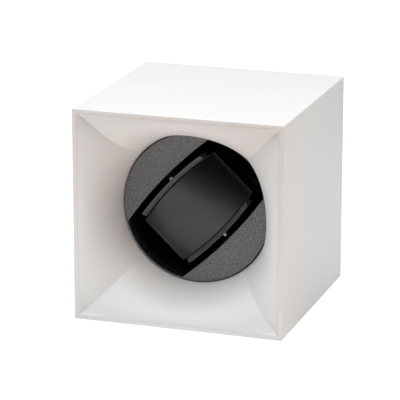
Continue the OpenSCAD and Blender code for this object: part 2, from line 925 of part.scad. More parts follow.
// Hinged door over the two cells, round along its hinge line
module battery_door() {
    pin_reach = hinge_half + door_gap + ear_w - fit_gap;
    color(black_satin)
        difference() {
            union() {
                slab(door_front, door_back) {
                    translate([-hinge_half, hinge_y])
                        square([2 * hinge_half, door_top - hinge_y]);
                    translate([-door_half, hinge_y + ear_clear])
                        square([2 * door_half, door_top - hinge_y - ear_clear]);
                }
                on_hinge(hinge_half)
                    circle(door_t / 2, $fn = 48);
                on_hinge(pin_reach)
                    circle(hinge_d / 2, $fn = 32);
                slab(door_front - catch_len, door_front + door_t / 2)
                    catch_outline(0);
            }
            slab(door_front - over, door_back + over)
                translate([0, door_top + notch_r / 2])
                    circle(notch_r);
            slab(door_front - over, door_front + strip_t + fit_gap)
                contact_outline(fit_gap);
        }
}

// Outline of the door's two snap tongues, near its upper edge
module catch_outline(grow) {
    for (s = [-1, 1])
        translate([s * catch_at, door_top - catch_t / 2 - catch_gap - catch_margin])
            square([catch_w + 2 * grow, catch_t + 2 * grow], center = true);
}

// An outline carried along the hinge line, to both sides of the middle
module on_hinge(half) {
    translate([-half, hinge_depth - cube_side / 2, axis_z + hinge_y])
        rotate([90, 0, 90])
            linear_extrude(2 * half)
                children();
}

// Outline of the bridge contact
module contact_outline(grow) {
    translate([0, -tube_at])
        square([2 * tube_at + strip_w + 2 * grow, strip_w + 2 * grow], center = true);
}

// Bridge contact in the door, with a dome for each cell
module door_contact() {
    color(yellow_brass) {
        slab(door_front, door_front + strip_t)
            contact_outline(0);
        for (p = tubes)
            bar(dome_r, door_front - dome_h, door_front + strip_t / 2, p);
    }
}

// Outline of a spur gear with involute teeth, a tooth at angle 0
function involute(a) = tan(a) * 180 / PI - a;
function tooth_half(r, z) =
    let (
        pr = tooth_m * z / 2,
        base = pr * cos(press_angle),
        a = r > base ? acos(base / r) : 0
    )
    90 / z - backlash / 4 / pr * 180 / PI + involute(press_angle) - involute(a);
function tooth_radii(z) =
    let (pr = tooth_m * z / 2, root = pr - dedendum)
    [root, max(root + 0.05, pr * cos(press_angle)), pr, pr + addendum];
function on_circle(r, a) = [r * cos(a), r * sin(a)];
module gear_outline(z) {
    radii = tooth_radii(z);
    polygon([
        for (i = [0 : z - 1])
            each concat(
                [for (r = radii) on_circle(r, 360 * i / z - tooth_half(r, z))],
                [for (n = [len(radii) - 1 : -1 : 0])
                    on_circle(radii[n], 360 * i / z + tooth_half(radii[n], z))]
            )
    ]);
}

// Pinion on the motor's shaft, turned so that a gap meets the gear's tooth
module drive_pinion() {
    color(yellow_brass)
        slab(gear_front, gear_back)
            translate(motor_at)
                difference() {
                    rotate(motor_angle + 180 + 180 / pinion_z)
                        gear_outline(pinion_z);
                    circle(motor_shaft_d / 2 + press_gap, $fn = 48);
                }
}

// Output shaft of the motor
module motor_shaft() {
    color(bright_steel)
        bar(motor_shaft_d / 2, gear_front, shaft_in_back, motor_at);
}

// Slot in the rotor's face
module slot_outline() {
    along_slot()
        intersection() {
            circle(slot_end_r);
            band(slot_half, slot_shift);
        }
}

// Front disc of the rotor: two cheeks beside the slanted slot, joined by a thin rim
module rotor_face() {
    color(black_grain)
        slab(rotor_setback, face_back)
            difference() {
                circle(face_r, $fn = 180);
                slot_outline();
            }
}

// Cup behind the face, with the slot's two walls and the gear's seat
module rotor_drum() {
    color(black_dull)
        difference() {
            union() {
                slab(face_back, pocket_back + merge)
                    drum_section();
                slab(ledge_front, ledge_front + ledge_t)
                    ledge_outline();
                bar(drum_r, pocket_back, drum_back);
                bar(gear_seat_r, pocket_back, gear_front);
            }
            bar(shaft_r + press_gap, pocket_back - over, gear_front + over);
            for (p = gear_screw_places())
                flat_screw(small_screw, gear_back, gear_screw_len + press_gap, p, press_gap);
        }
}

// The drum's wall and the slot's walls, seen from the front
module drum_section() {
    difference() {
        circle(drum_r, $fn = 180);
        circle(drum_in, $fn = 180);
    }
    along_slot()
        intersection() {
            difference() {
                band(slot_half + slot_wall, slot_shift);
                band(slot_half, slot_shift);
            }
            circle(drum_r - drum_wall / 2);
        }
}

// Ledges on the slot's walls, one on each side
module ledge_outline() {
    reach = rail_gap - ledge_gap + merge;
    along_slot()
        for (s = [-1, 1])
            translate([-ledge_half, s > 0 ? rail_out + ledge_gap : -slot_half - merge])
                square([2 * ledge_half, reach]);
}

// Two round bars in the sides of the rails
module peg_bars(r, extra) {
    facing(peg_depth)
        along_slot()
            for (s = [-1, 1])
                translate([0, s * (rail_out + peg_proud), 0])
                    rotate([s * 90, 0, 0])
                        cylinder(r = r, h = peg_proud + peg_hold + extra, $fn = 32);
}

// Bright pegs of the holder, which rest on the ledges of the slot's walls
module rest_pegs() {
    color(bright_steel)
        peg_bars(peg_r, 0);
}

// Gear on the drum's back, lightened by three round holes
module rotor_gear() {
    color(white_shell)
        difference() {
            slab(gear_front, gear_back)
                difference() {
                    rotate(motor_angle)
                        gear_outline(gear_z);
                    circle(shaft_r + press_gap);
                    for (a = [60, 180, 300])
                        translate(on_circle(gear_pr - hole_r - gear_rim, a))
                            circle(hole_r);
                }
            for (p = gear_screw_places())
                flat_screw(small_screw, gear_back, gear_screw_len, p, press_gap);
        }
}

// Screws that hold the gear to the drum, their heads flush with the gear's back
module gear_screws() {
    color(bright_steel)
        for (p = gear_screw_places())
            difference() {
                flat_screw(small_screw, gear_back, gear_screw_len, p, 0);
                rear_cross(small_screw, gear_back, p);
            }
}

// Places of the three gear screws
function gear_screw_places() = [for (a = [0, 120, 240]) on_circle(gear_screw_at, a)];

// Shaft of the rotor, grooved for its clip
module rotor_shaft() {
    color(bright_steel)
        difference() {
            bar(shaft_r, pocket_back, shaft_back);
            sleeve(shaft_r + over, groove_r, clip_front, clip_front + clip_t);
        }
}

// Washer between the gear and the bush
module thrust_washer() {
    color(bright_steel)
        sleeve(bush_r + flange_w, shaft_r + press_gap, gear_back, gear_back + washer_t);
}

// Open clip in the shaft's groove, behind the bush
module shaft_clip() {
    color(bright_steel)
        slab(clip_front + clip_play, clip_front + clip_t - clip_play)
            difference() {
                circle(shaft_r + clip_w);
                circle(groove_r + press_gap);
                translate([-groove_r, -shaft_r - clip_w - over])
                    square([2 * groove_r, shaft_r + clip_w + over]);
            }
}

// Holder's base with its bowed rails and the guide sleeves
module holder_frame() {
    color(black_satin) {
        difference() {
            union() {
                slab(base_front, base_back)
                    along_slot()
                        intersection() {
                            band(rail_out, rail_shift);
                            square([2 * rail_half, 2 * slot_half], center = true);
                        }
                for (s = [-1, 1]) {
                    bowed_rail(s);
                    bar(guide_r, base_front + merge, guide_back, guide_place(s));
                }
            }
            for (s = [-1, 1]) {
                bar(guide_in, base_back - guide_sunk, guide_back - guide_lip, guide_place(s));
                bar(pin_d / 2 + run_gap, base_back, guide_back + over, guide_place(s));
            }
            peg_bars(peg_r + press_gap, press_gap);
        }
    }
}

// A rail with a sloped top, turned round the centre of its bow and cut to the base's length
module bowed_rail(side) {
    intersection() {
        facing(base_front + merge)
            along_slot()
                translate([0, -side * rail_shift, 0])
                    rotate_extrude($fn = 360)
                        translate([rail_shift, 0])
                            polygon([
                                [rail_in, 0], [rail_out, 0],
                                [rail_out, rail_h], [rail_in, rail_h - rail_fall]
                            ]);
        slab(rail_front - over, base_back)
            along_slot()
                translate([-rail_half, side > 0 ? 0 : -slot_half])
                    square([2 * rail_half, slot_half]);
    }
}

// Place of a guide sleeve, on the slot's middle line
function guide_place(s) = turned([s * pin_at, 0], slot_angle);

// Crowned pad over the base, with turned-down ends
module holder_pad() {
    color(black_satin)
        intersection() {
            slab(pad_front - over, pad_front + pad_end_len + over)
                along_slot()
                    band(pad_side, rail_shift);
            across_slot(slot_half)
                pad_section();
        }
}

// An outline in the plane along the slot (x along it, y towards the front), carried across the slot
module across_slot(half) {
    facing(pad_front)
        along_slot()
            translate([0, half, 0])
                rotate([90, 0, 0])
                    linear_extrude(2 * half)
                        children();
}

// Section of the pad along the slot
module pad_section() {
    difference() {
        intersection() {
            translate([0, -pad_crown_r])
                circle(pad_crown_r, $fn = 360);
            translate([0, -pad_end_len])
                rounded_bar(pad_half, pad_end_len, pad_round);
        }
        translate([-pad_in, -pad_end_len - over])
            square([2 * pad_in, pad_end_len + over - pad_t]);
    }
}

// An upright bar whose two upper corners are rounded and stand a bead's height out of its sides
module rounded_bar(half, height, r) {
    corner_y = height - r - pad_crown_h + pad_bead;
    translate([pad_bead - half, 0])
        square([2 * (half - pad_bead), corner_y]);
    translate([r - half, 0])
        square([2 * (half - r), height]);
    for (s = [-1, 1])
        translate([s * (half - r), corner_y])
            circle(r, $fn = 48);
}

// Coil springs round the guide sleeves
module holder_springs() {
    color(bright_steel)
        for (s = [-1, 1])
            facing(jaw_front - fit_gap)
                translate([each guide_place(s), 0])
                    coil(coil_r, coil_r, wire_d, spring_len, spring_turns);
}

// Sprung rear half of the holder, flat in front and round at the back
module holder_jaw() {
    color(black_satin)
        difference() {
            jaw_layer(jaw_front, jaw_crest, jaw_crown_r);
            for (s = [-1, 1])
                bar(pin_d / 2 + press_gap, jaw_front - over, jaw_front + pin_seat, guide_place(s));
        }
}

// Soft strip over the jaw's back
module jaw_pad() {
    color(black_dull)
        difference() {
            jaw_layer(jaw_front + jaw_lip, jaw_crest + jaw_pad_t, jaw_crown_r + jaw_pad_t);
            jaw_round(jaw_crest + press_gap, jaw_crown_r + press_gap, slot_half);
        }
}

// A bowed block with a round back, between a flat front and its crest
module jaw_layer(front, crest, r) {
    intersection() {
        slab(front, crest + over)
            along_slot()
                intersection() {
                    band(jaw_side, rail_shift);
                    square([2 * jaw_half, 2 * slot_half], center = true);
                }
        jaw_round(crest, r, jaw_side + over);
    }
}

// The round back of the jaw, as a cylinder across the slot
module jaw_round(crest, r, half) {
    facing(crest)
        along_slot()
            translate([0, half, r])
                rotate([90, 0, 0])
                    cylinder(r = r, h = 2 * half, $fn = 180);
}

// Headed pins that slide in the guide sleeves
module guide_pins() {
    color(bright_steel)
        for (s = [-1, 1]) {
            bar(pin_d / 2, head_back - pin_head_t, jaw_front + pin_seat, guide_place(s));
            bar(head_r, head_back - pin_head_t, head_back, guide_place(s));
        }
}

cube_sleeve();
front_funnel();
rubber_feet();
rear_panel();
case_screws();
chassis_frame();
frame_screws();
rotor_bearing();
drive_motor();
motor_screws();
control_board();
board_screws();
tact_switch();
power_socket();
socket_pin();
battery_tubes();
battery_cells();
cell_springs();
battery_door();
door_contact();
mode_button();
switch_plunger();
drive_pinion();
motor_shaft();
rotor_face();
rotor_drum();
rest_pegs();
rotor_gear();
gear_screws();
rotor_shaft();
thrust_washer();
shaft_clip();
holder_frame();
holder_pad();
holder_springs();
holder_jaw();
jaw_pad();
guide_pins();
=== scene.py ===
import json
import math

import bpy
import numpy as np
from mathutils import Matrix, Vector


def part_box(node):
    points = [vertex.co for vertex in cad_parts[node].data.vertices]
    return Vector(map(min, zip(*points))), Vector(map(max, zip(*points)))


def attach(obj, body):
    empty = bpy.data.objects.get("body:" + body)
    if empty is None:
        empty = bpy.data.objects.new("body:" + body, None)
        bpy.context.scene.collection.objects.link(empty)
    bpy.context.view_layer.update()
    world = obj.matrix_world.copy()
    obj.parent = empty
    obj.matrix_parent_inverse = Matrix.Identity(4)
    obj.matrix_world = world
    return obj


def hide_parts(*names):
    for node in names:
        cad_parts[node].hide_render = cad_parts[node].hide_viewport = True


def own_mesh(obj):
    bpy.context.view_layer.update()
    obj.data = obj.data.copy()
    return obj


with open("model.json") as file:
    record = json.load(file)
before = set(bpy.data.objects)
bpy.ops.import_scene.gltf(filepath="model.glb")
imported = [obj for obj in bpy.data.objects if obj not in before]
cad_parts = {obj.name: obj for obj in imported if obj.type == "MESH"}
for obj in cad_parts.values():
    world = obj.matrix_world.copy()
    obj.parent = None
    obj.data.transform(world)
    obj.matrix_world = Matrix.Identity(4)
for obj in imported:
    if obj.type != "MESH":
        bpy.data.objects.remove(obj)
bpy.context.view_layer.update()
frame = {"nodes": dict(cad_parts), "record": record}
nodes = frame["nodes"]
mm = 0.001
sides = (-1, 1)
print("frame loaded with", len(nodes), "solids")

# Places are drawn in mm as seen from the front: x to the right, up from the rotor's axis,
# depth behind the front plane
sleeveLow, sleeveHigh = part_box("cube_sleeve")
cubeSide = (sleeveHigh.x - sleeveLow.x) / mm
frontY = sleeveLow.y / mm
axisZ = (sleeveLow.z + sleeveHigh.z) / 2 / mm
slotTurn = math.radians(47)  # slant of the rotor's slot


def place(x, up, depth):
    # front drawing in mm to the part's own frame in metres
    x, up, depth = np.broadcast_arrays(x, up, depth)
    return np.stack([x, depth + frontY, up + axisZ], -1) * mm


def slotPlace(along, across, depth):
    # the same, with the drawing turned to the rotor's slanted slot
    c, s = math.cos(slotTurn), math.sin(slotTurn)
    along, across = np.broadcast_arrays(along, across)
    return place(along * c - across * s, along * s + across * c, depth)


def nodeDepths(name):
    # front and back depth of a solid
    low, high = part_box(name)
    return low.y / mm - frontY, high.y / mm - frontY


def arc(centre, radius, start, end, steps):
    # points of a circular arc in the plane, angles in degrees
    a = np.radians(np.linspace(start, end, steps + 1))
    return np.stack([centre[0] + radius * np.cos(a), centre[1] + radius * np.sin(a)], -1)


def gridFaces(rows, cols, wrapRows=False, wrapCols=False):
    # quads between neighbouring rows and columns of a grid of points
    r, c = np.meshgrid(
        np.arange(rows if wrapRows else rows - 1),
        np.arange(cols if wrapCols else cols - 1),
        indexing="ij",
    )
    r2, c2 = (r + 1) % rows, (c + 1) % cols
    corners = [r * cols + c, r * cols + c2, r2 * cols + c2, r2 * cols + c]
    return np.stack(corners, -1).reshape(-1, 4).tolist()


def tubeFaces(rings, around, closed=False):
    # faces of a tube of rings, with both ends closed unless the rings run in a circle
    faces = gridFaces(rings, around, wrapRows=closed, wrapCols=True)
    if not closed:
        faces.append(list(range(around)))
        faces.append([(rings - 1) * around + i for i in reversed(range(around))])
    return faces


def joined(parts):
    # several (points, faces) shells as one
    points, faces, first = [], [], 0
    for p, f in parts:
        points.append(p)
        faces += [[i + first for i in face] for face in f]
        first += len(p)
    return np.concatenate(points), faces


def roundPolygon(corners, radius, steps=4):
    # closed outline whose corners turn on arcs, each swung from one touching point to the next
    corners, arcs = np.array(corners, float), []
    t = np.linspace(0, 1, steps + 1)[:, None]
    for before, at, after in zip(np.roll(corners, 1, 0), corners, np.roll(corners, -1, 0)):
        a, b = (v / np.linalg.norm(v) for v in (before - at, after - at))
        half = math.acos(a @ b) / 2
        centre = at + (a + b) / np.linalg.norm(a + b) * radius / math.sin(half)
        start, end = (at + v * radius / math.tan(half) - centre for v in (a, b))
        sweep = math.pi - 2 * half
        swing = np.sin((1 - t) * sweep) * start + np.sin(t * sweep) * end
        arcs.append(centre + swing / math.sin(sweep))
    return np.concatenate(arcs)


def inset(outline, amount):
    # closed outline moved inwards along its points' normals
    along = np.roll(outline, -1, 0) - np.roll(outline, 1, 0)
    normal = np.stack([along[:, 1], -along[:, 0]], -1) / np.linalg.norm(along, axis=1)[:, None]
    x, y = outline.T
    turn = np.sign(np.sum(x * np.roll(y, -1) - y * np.roll(x, -1)))
    return outline - amount * turn * normal


def edgeProfile(front, back, edge, steps=4):
    # inset and depth from a rounded front edge to a rounded back edge
    a = np.radians(np.linspace(0, 90, steps + 1))
    first = np.stack([edge * (1 - np.sin(a)), front + edge * (1 - np.cos(a))], -1)
    last = np.stack([edge * (1 - np.cos(a)), back - edge * (1 - np.sin(a))], -1)
    return np.concatenate([first, last])


def extruded(outline, profile, placing):
    # an outline carried through depth, drawn in by the profile's insets
    rings = [placing(*inset(outline, amount).T, depth) for amount, depth in profile]
    return np.stack(rings), tubeFaces(len(profile), len(outline))


def lathe(profile, x, up, steps=48, ring=False):
    # radius and depth turned about a line towards the viewer; a ring's profile closes on itself
    r, depth = np.split(np.array(profile, float), 2, axis=1)
    a = np.linspace(0, 2 * math.pi, steps, endpoint=False)[None, :]
    return place(x + r * np.cos(a), up + r * np.sin(a), depth), tubeFaces(len(r), steps, ring)


def coilTube(x, up, radii, wire, front, back, turns, steps=40, facets=12):
    # round wire on a helix that runs from back to front while its radius may taper
    t = np.linspace(0, 1, turns * steps + 1)[:, None]
    b = np.linspace(0, 2 * math.pi, facets, endpoint=False)[None, :]
    r = radii[0] + (radii[1] - radii[0]) * t + wire / 2 * np.cos(b)
    a = 2 * math.pi * turns * t
    depth = back - wire / 2 - (back - front - wire) * t + wire / 2 * np.sin(b)
    return place(x + r * np.cos(a), up + r * np.sin(a), depth), tubeFaces(len(t), facets)


def outward(points, faces):
    # faces turned so that the shell's signed volume is positive
    tri = np.array([[f[0], f[i], f[i + 1]] for f in faces for i in range(1, len(f) - 1)])
    a, b, c = points[tri[:, 0]], points[tri[:, 1]], points[tri[:, 2]]
    return faces if np.einsum("ij,ij->", a, np.cross(b, c)) > 0 else [f[::-1] for f in faces]


def feed(tree, socket, value):
    # an output of another node is linked to the socket, a plain value is set on it
    if isinstance(value, bpy.types.NodeSocket):
        tree.links.new(value, socket)
    else:
        socket.default_value = value


def addNode(tree, kind, *inputs, **values):
    # a node with its settings and its first inputs in order; names with a capital are sockets, _ is a space
    node = tree.nodes.new(kind)
    for key, value in values.items():
        if key[0].isupper():
            feed(tree, node.inputs[key.replace("_", " ")], value)
        else:
            setattr(node, key, value)
    for socket, value in zip(node.inputs, inputs):
        feed(tree, socket, value)
    return node


def addMath(tree, operation, *inputs):
    # the result of a math node
    return addNode(tree, "ShaderNodeMath", *inputs, operation=operation).outputs[0]


def mixColours(tree, share, first, second):
    # from the first colour to the second as the share goes from 0 to 1
    mix = addNode(tree, "ShaderNodeMix", data_type="RGBA")
    colourSockets = {0: share, 6: first, 7: second}  # the node's numbers for a colour's factor, A and B
    for number, value in colourSockets.items():
        feed(tree, mix.inputs[number], value)
    return mix.outputs[2]  # its colour result


# Node groups that several finishes share
def newGroup(name, inputs, outputs):
    # an empty group with number sockets: inputs with their first values, and outputs
    group = bpy.data.node_groups.new(name, "ShaderNodeTree")
    for label, value in inputs.items():
        socket = group.interface.new_socket(label, in_out="INPUT", socket_type="NodeSocketFloat")
        socket.default_value = value
    for label in outputs:
        group.interface.new_socket(label, in_out="OUTPUT", socket_type="NodeSocketFloat")
    return group, group.nodes.new("NodeGroupInput").outputs, group.nodes.new("NodeGroupOutput").inputs


def grainGroup():
    # fine moulded grain: soft cells and noise, as a height and as a speckle round 1
    group, given, result = newGroup("mouldedGrain", {"Scale": 1800.0, "Speckle": 0.1}, ["Height", "Shade"])
    where = addNode(group, "ShaderNodeTexCoord").outputs["Object"]
    cells = addNode(
        group, "ShaderNodeTexVoronoi", feature="SMOOTH_F1",
        Smoothness=0.6, Vector=where, Scale=given["Scale"],
    )
    noise = addNode(
        group, "ShaderNodeTexNoise", Detail=3.0, Roughness=0.6, Vector=where, Scale=given["Scale"],
    )
    height = addMath(group, "MULTIPLY", cells.outputs["Distance"], noise.outputs["Fac"])
    shade = addNode(
        group, "ShaderNodeMapRange", noise.outputs["Fac"], From_Min=0.3, From_Max=0.7,
        To_Min=addMath(group, "SUBTRACT", 1.0, given["Speckle"]),
        To_Max=addMath(group, "ADD", 1.0, given["Speckle"]),
    )
    feed(group, result["Height"], height)
    feed(group, result["Shade"], shade.outputs["Result"])
    return group


def mottleGroup():
    # slow unevenness of a moulded or handled surface: a tone round 1 and a roughness round its middle
    group, given, result = newGroup(
        "handlingMottle",
        {"Scale": 40.0, "Tone": 0.03, "Roughness": 0.4, "Spread": 0.06},
        ["Tone", "Roughness"],
    )
    where = addNode(group, "ShaderNodeTexCoord").outputs["Object"]
    noise = addNode(
        group, "ShaderNodeTexNoise", Detail=4.0, Roughness=0.55, Vector=where, Scale=given["Scale"],
    )
    centred = addMath(group, "SUBTRACT", noise.outputs["Fac"], 0.5)
    tone = addMath(group, "MULTIPLY_ADD", centred, given["Tone"], 1.0)
    rough = addMath(group, "MULTIPLY_ADD", centred, given["Spread"], given["Roughness"])
    feed(group, result["Tone"], tone)
    feed(group, result["Roughness"], rough)
    return group


sharedGroups = {"grain": grainGroup(), "mottle": mottleGroup()}


def finishOf(
    name, colour, rough, spread=0.06, tone=0.03, mottle=40.0, grain=None, metal=0.0,
    mark=None, under=(0.003, 0.003, 0.003), edge=0.0, **sockets,
):
    # a principled finish: colour with mottle and speckle, mottled roughness, grain as bump;
    # where a mark on the points falls to 0 it turns to the colour under it; edge softens sharp edges
    material = bpy.data.materials.new(name)
    material.use_nodes = True
    tree = material.node_tree
    shader = tree.nodes["Principled BSDF"].inputs
    for key, value in {"Metallic": metal, **sockets}.items():
        shader[key.replace("_", " ")].default_value = value
    uneven = addNode(
        tree, "ShaderNodeGroup", node_tree=sharedGroups["mottle"],
        Scale=mottle, Tone=tone, Roughness=rough, Spread=spread,
    ).outputs
    feed(tree, shader["Roughness"], uneven["Roughness"])
    shade, normal = uneven["Tone"], None
    if edge:
        normal = addNode(tree, "ShaderNodeBevel", samples=4, Radius=edge * mm).outputs["Normal"]
    if grain:
        fine = addNode(
            tree, "ShaderNodeGroup", node_tree=sharedGroups["grain"],
            Scale=grain["scale"], Speckle=grain["speckle"],
        ).outputs
        shade = addMath(tree, "MULTIPLY", shade, fine["Shade"])
        bump = addNode(
            tree, "ShaderNodeBump", Height=fine["Height"],
            Strength=grain["strength"], Distance=grain["height"] * mm,
        )
        if normal:
            feed(tree, bump.inputs["Normal"], normal)
        normal = bump.outputs["Normal"]
    if normal:
        feed(tree, shader["Normal"], normal)
    surface = addNode(tree, "ShaderNodeVectorMath", colour, operation="SCALE", Scale=shade).outputs[0]
    if mark:
        share = addNode(tree, "ShaderNodeAttribute", attribute_name=mark).outputs["Fac"]
        surface = mixColours(tree, share, (*under, 1.0), surface)
        if metal:
            feed(tree, shader["Metallic"], share)
    feed(tree, shader["Base Color"], surface)
    return material


softGrain = {"scale": 2600.0, "speckle": 0.015, "strength": 0.12, "height": 0.05}
sandGrain = {"scale": 1400.0, "speckle": 0.62, "strength": 0.7, "height": 0.3}
mouldGrain = {"scale": 1700.0, "speckle": 0.12, "strength": 0.4, "height": 0.2}
railGrain = {"scale": 1500.0, "speckle": 0.35, "strength": 0.4, "height": 0.15}
satinGrain = {"scale": 3000.0, "speckle": 0.06, "strength": 0.15, "height": 0.08}
whitePlastic = {
    "colour": (0.935, 0.89, 0.845), "rough": 0.42, "tone": 0.012, "grain": softGrain,
    "Subsurface_Weight": 0.25, "Subsurface_Radius": (1.0, 0.8, 0.65), "Subsurface_Scale": 0.002,
}
finishes = {  # by slot: name, colour, roughness and what else sets it apart
    "white_shell": finishOf("whiteShell", **whitePlastic),
    "white_funnel": finishOf("whiteFunnel", **whitePlastic),
    "foot_rubber": finishOf("footRubber", (0.03, 0.03, 0.03), 0.85, grain=mouldGrain),
    "panel_black": finishOf("panelBlack", (0.03, 0.03, 0.031), 0.5, grain=mouldGrain, edge=0.35),
    "frame_black": finishOf("frameBlack", (0.02, 0.02, 0.021), 0.5, grain=satinGrain),
    "button_black": finishOf("buttonBlack", (0.02, 0.02, 0.02), 0.3, grain=satinGrain),
    "bright_steel": finishOf("brightSteel", (0.62, 0.62, 0.63), 0.28, metal=1.0, tone=0.08, mottle=300.0),
    "peg_steel": finishOf("pegSteel", (0.55, 0.55, 0.56), 0.42, metal=1.0, tone=0.05, mottle=300.0),
    "motor_steel": finishOf("motorSteel", (0.5, 0.5, 0.51), 0.35, metal=1.0, tone=0.1, mottle=120.0),
    "bearing_brass": finishOf("bearingBrass", (0.72, 0.5, 0.2), 0.32, metal=1.0, tone=0.1, mottle=200.0),
    "contact_brass": finishOf("contactBrass", (0.75, 0.56, 0.26), 0.34, metal=1.0, tone=0.03, mottle=60.0),
    "board_green": finishOf("boardGreen", (0.02, 0.11, 0.05), 0.35, tone=0.1, mottle=200.0),
    "cell_wrap": finishOf(
        "cellWrap", (0.7, 0.69, 0.67), 0.3, metal=1.0, tone=0.04, mark="endShare", under=(0.2, 0.12, 0.04),
    ),
    # the cheek's mark paints the rotor slot's wall near black: painted shade, not the cheek's own colour
    "cheek_black": finishOf(
        "cheekGrainPaintedShade", (0.175, 0.179, 0.182), 0.62, tone=0.06, grain=sandGrain, mark="faceNotPaintedShade",
    ),
    "drum_black": finishOf(
        "drumBlack", (0.003, 0.003, 0.003), 0.7, grain=satinGrain, Specular_IOR_Level=0.12,
    ),
    "gear_white": finishOf("gearWhite", (0.72, 0.7, 0.65), 0.45, grain=softGrain),
    "holder_black": finishOf(
        "holderBlack", (0.042, 0.043, 0.044), 0.36, grain=railGrain, Specular_IOR_Level=0.7,
    ),
    "pad_black": finishOf(
        "plateBlack", (0.003, 0.003, 0.003), 0.21, grain=satinGrain, Specular_IOR_Level=0.62,
    ),
    "jaw_soft": finishOf("jawSoft", (0.02, 0.02, 0.02), 0.7, grain=mouldGrain),
}
for part in frame["record"]["subparts"]:
    solid = nodes[part["node"]]
    solid.data.materials.clear()
    solid.data.materials.append(finishes[part["material_slot"]])
print("finishes made:", len(finishes))


def makePiece(name, shells, body, slotName, stands, smoothTo=35, marks=None):
    # one object from closed shells, smooth up to an angle, with its slot's finish, riding on a body
    # in place of the solids that it stands for; marks are values on its points that the finish reads
    listed = [(p.reshape(-1, 3), f) for p, f in shells]
    points, faces = joined([(p, outward(p, f)) for p, f in listed])
    mesh = bpy.data.meshes.new(name)
    mesh.from_pydata(points.tolist(), [], faces)
    mesh.shade_smooth()
    mesh.set_sharp_from_angle(angle=math.radians(smoothTo))
    mesh.materials.append(finishes[slotName])
    for label, values in (marks or {}).items():
        mesh.attributes.new(label, "FLOAT", "POINT").data.foreach_set("value", values.ravel())
    piece = bpy.data.objects.new(name, mesh)
    bpy.context.scene.collection.objects.link(piece)
    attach(piece, body)
    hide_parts(*stands)
    return piece


# White housing: one skin from the rear rim over the outer faces and the front rim into the funnel, and back
housingSet = {
    "wall": 2.2, "corner": 0.7, "edge": 0.5, "crease": 0.35, "least": 0.2,
    "rimEdge": 0.2, "seam": 0.25, "sunk": 0.05,
    "throatGap": 0.35, "funnelWall": 2.0, "skirt": 16.0, "skirtWall": 1.8,
    "rollDepth": 36.0, "pinch": 2.6, "pinchReach": 9.0,
    "flat": 48, "cornerSteps": 4, "rolls": 44, "edgeSteps": 5,
}


def housingShell(s):
    # Columns run round the cube: each face has a straight stretch between two half corners. On a square
    # of half side h and corner radius r they give the mouth; at the throat they give the same share of a
    # circle. The funnel mixes mouth and throat by sin(roll) while its depth follows 1 - cos(roll). Beside
    # a crease the depth grows by pinch * exp(-away / pinchReach), which fades at mouth and throat, draws
    # the crease in and keeps it crisp.
    low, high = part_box("front_funnel")
    half, deep = (high.x - low.x) / 2 / mm, (high.y - low.y) / mm
    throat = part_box("rotor_face")[1].x / mm + s["throatGap"]
    halfCorner = np.linspace(0, math.pi / 4, s["cornerSteps"] + 1)
    straight = np.linspace(-1, 1, s["flat"] + 1)[1:-1]
    bend = np.concatenate([halfCorner[::-1] * -1, 0 * straight, halfCorner[:-1]])
    run = np.concatenate([halfCorner * 0 - 1, straight, halfCorner[:-1] * 0 + 1])
    turn = np.repeat(np.arange(4), len(run))[:, None] * math.pi / 2  # of each of the four faces
    bend, run = np.tile(bend, 4)[:, None], np.tile(run, 4)[:, None]

    def turned(x, y, depth):
        return place(x * np.cos(turn) - y * np.sin(turn), x * np.sin(turn) + y * np.cos(turn), depth)

    def squarePoints(h, r):
        return h - r + r * np.cos(bend), (h - r) * run + r * np.sin(bend)

    def rolled(h, r, first):
        roll = np.linspace(0, math.pi / 2, s["rolls"] + 1)[None, :]
        x, y = squarePoints(h, s["crease"])
        away = h - np.abs(y)
        mix, angle = np.sin(roll), y / h * math.pi / 4
        x = x * (1 - mix) + r * np.cos(angle) * mix
        y = y * (1 - mix) + r * np.sin(angle) * mix
        depth = first + (s["rollDepth"] - first) * (1 - np.cos(roll))
        depth[0, -1] = deep  # the throat's lip goes as deep as the solid's
        depth = depth + s["pinch"] * np.sin(math.pi * np.sqrt(mix)) * np.exp(-away / s["pinchReach"])
        return turned(x, y, depth)

    def squareRings(section):
        drawn, depth = section[None, :, 0], section[None, :, 1]
        x, y = squarePoints(cubeSide / 2 - drawn, np.maximum(s["corner"] - drawn, s["least"]))
        return turned(x, y, depth)

    edge, wall, least = s["edge"], s["wall"], s["least"]
    rimEdge, rear = s["rimEdge"], half - s["skirtWall"]
    outside = np.concatenate([
        arc((edge, cubeSide - edge), edge, 90, 180, s["edgeSteps"]),
        arc((edge, edge), edge, 180, 270, s["edgeSteps"]),
        arc((wall - rimEdge, rimEdge), rimEdge, 270, 360, s["edgeSteps"]),
        [[wall, s["seam"]], [cubeSide / 2 - half, s["seam"]]],
    ])
    inside = np.array([
        [cubeSide / 2 - rear, s["skirt"]],
        [wall, s["skirt"]],
        [wall, cubeSide - least],
        [wall - least, cubeSide],
    ])
    points = np.concatenate(
        [
            squareRings(outside),
            rolled(half, throat, s["sunk"]),
            rolled(rear, throat + s["funnelWall"], s["funnelWall"])[:, ::-1],
            squareRings(inside),
        ],
        axis=1,
    )
    return points, gridFaces(points.shape[0], points.shape[1], True, True)


makePiece(
    "whiteHousing", [housingShell(housingSet)], "case", "white_shell", ["cube_sleeve", "front_funnel"],
    smoothTo=50,
)
print("white housing made")


# Rotor face: the ring between the slanted slot's outline and the outer circle, with painted shade on the
# slot's wall
rotorSet = {
    "slotHalf": 21.6, "bow": 213.0, "rim": 0.5, "edge": 0.2,
    "steps": 72, "rounds": 3, "flatSteps": 5, "paintedShadeColumns": 2,
}


def slotReach(s, angle, endRadius):
    # distance from the axis to the slot's outline: its bowed edge, or the circle that closes its ends
    shift = s["bow"] - s["slotHalf"]
    lift = shift * np.abs(np.sin(angle))
    return np.minimum(np.sqrt(lift**2 + s["bow"] ** 2 - shift**2) - lift, endRadius)


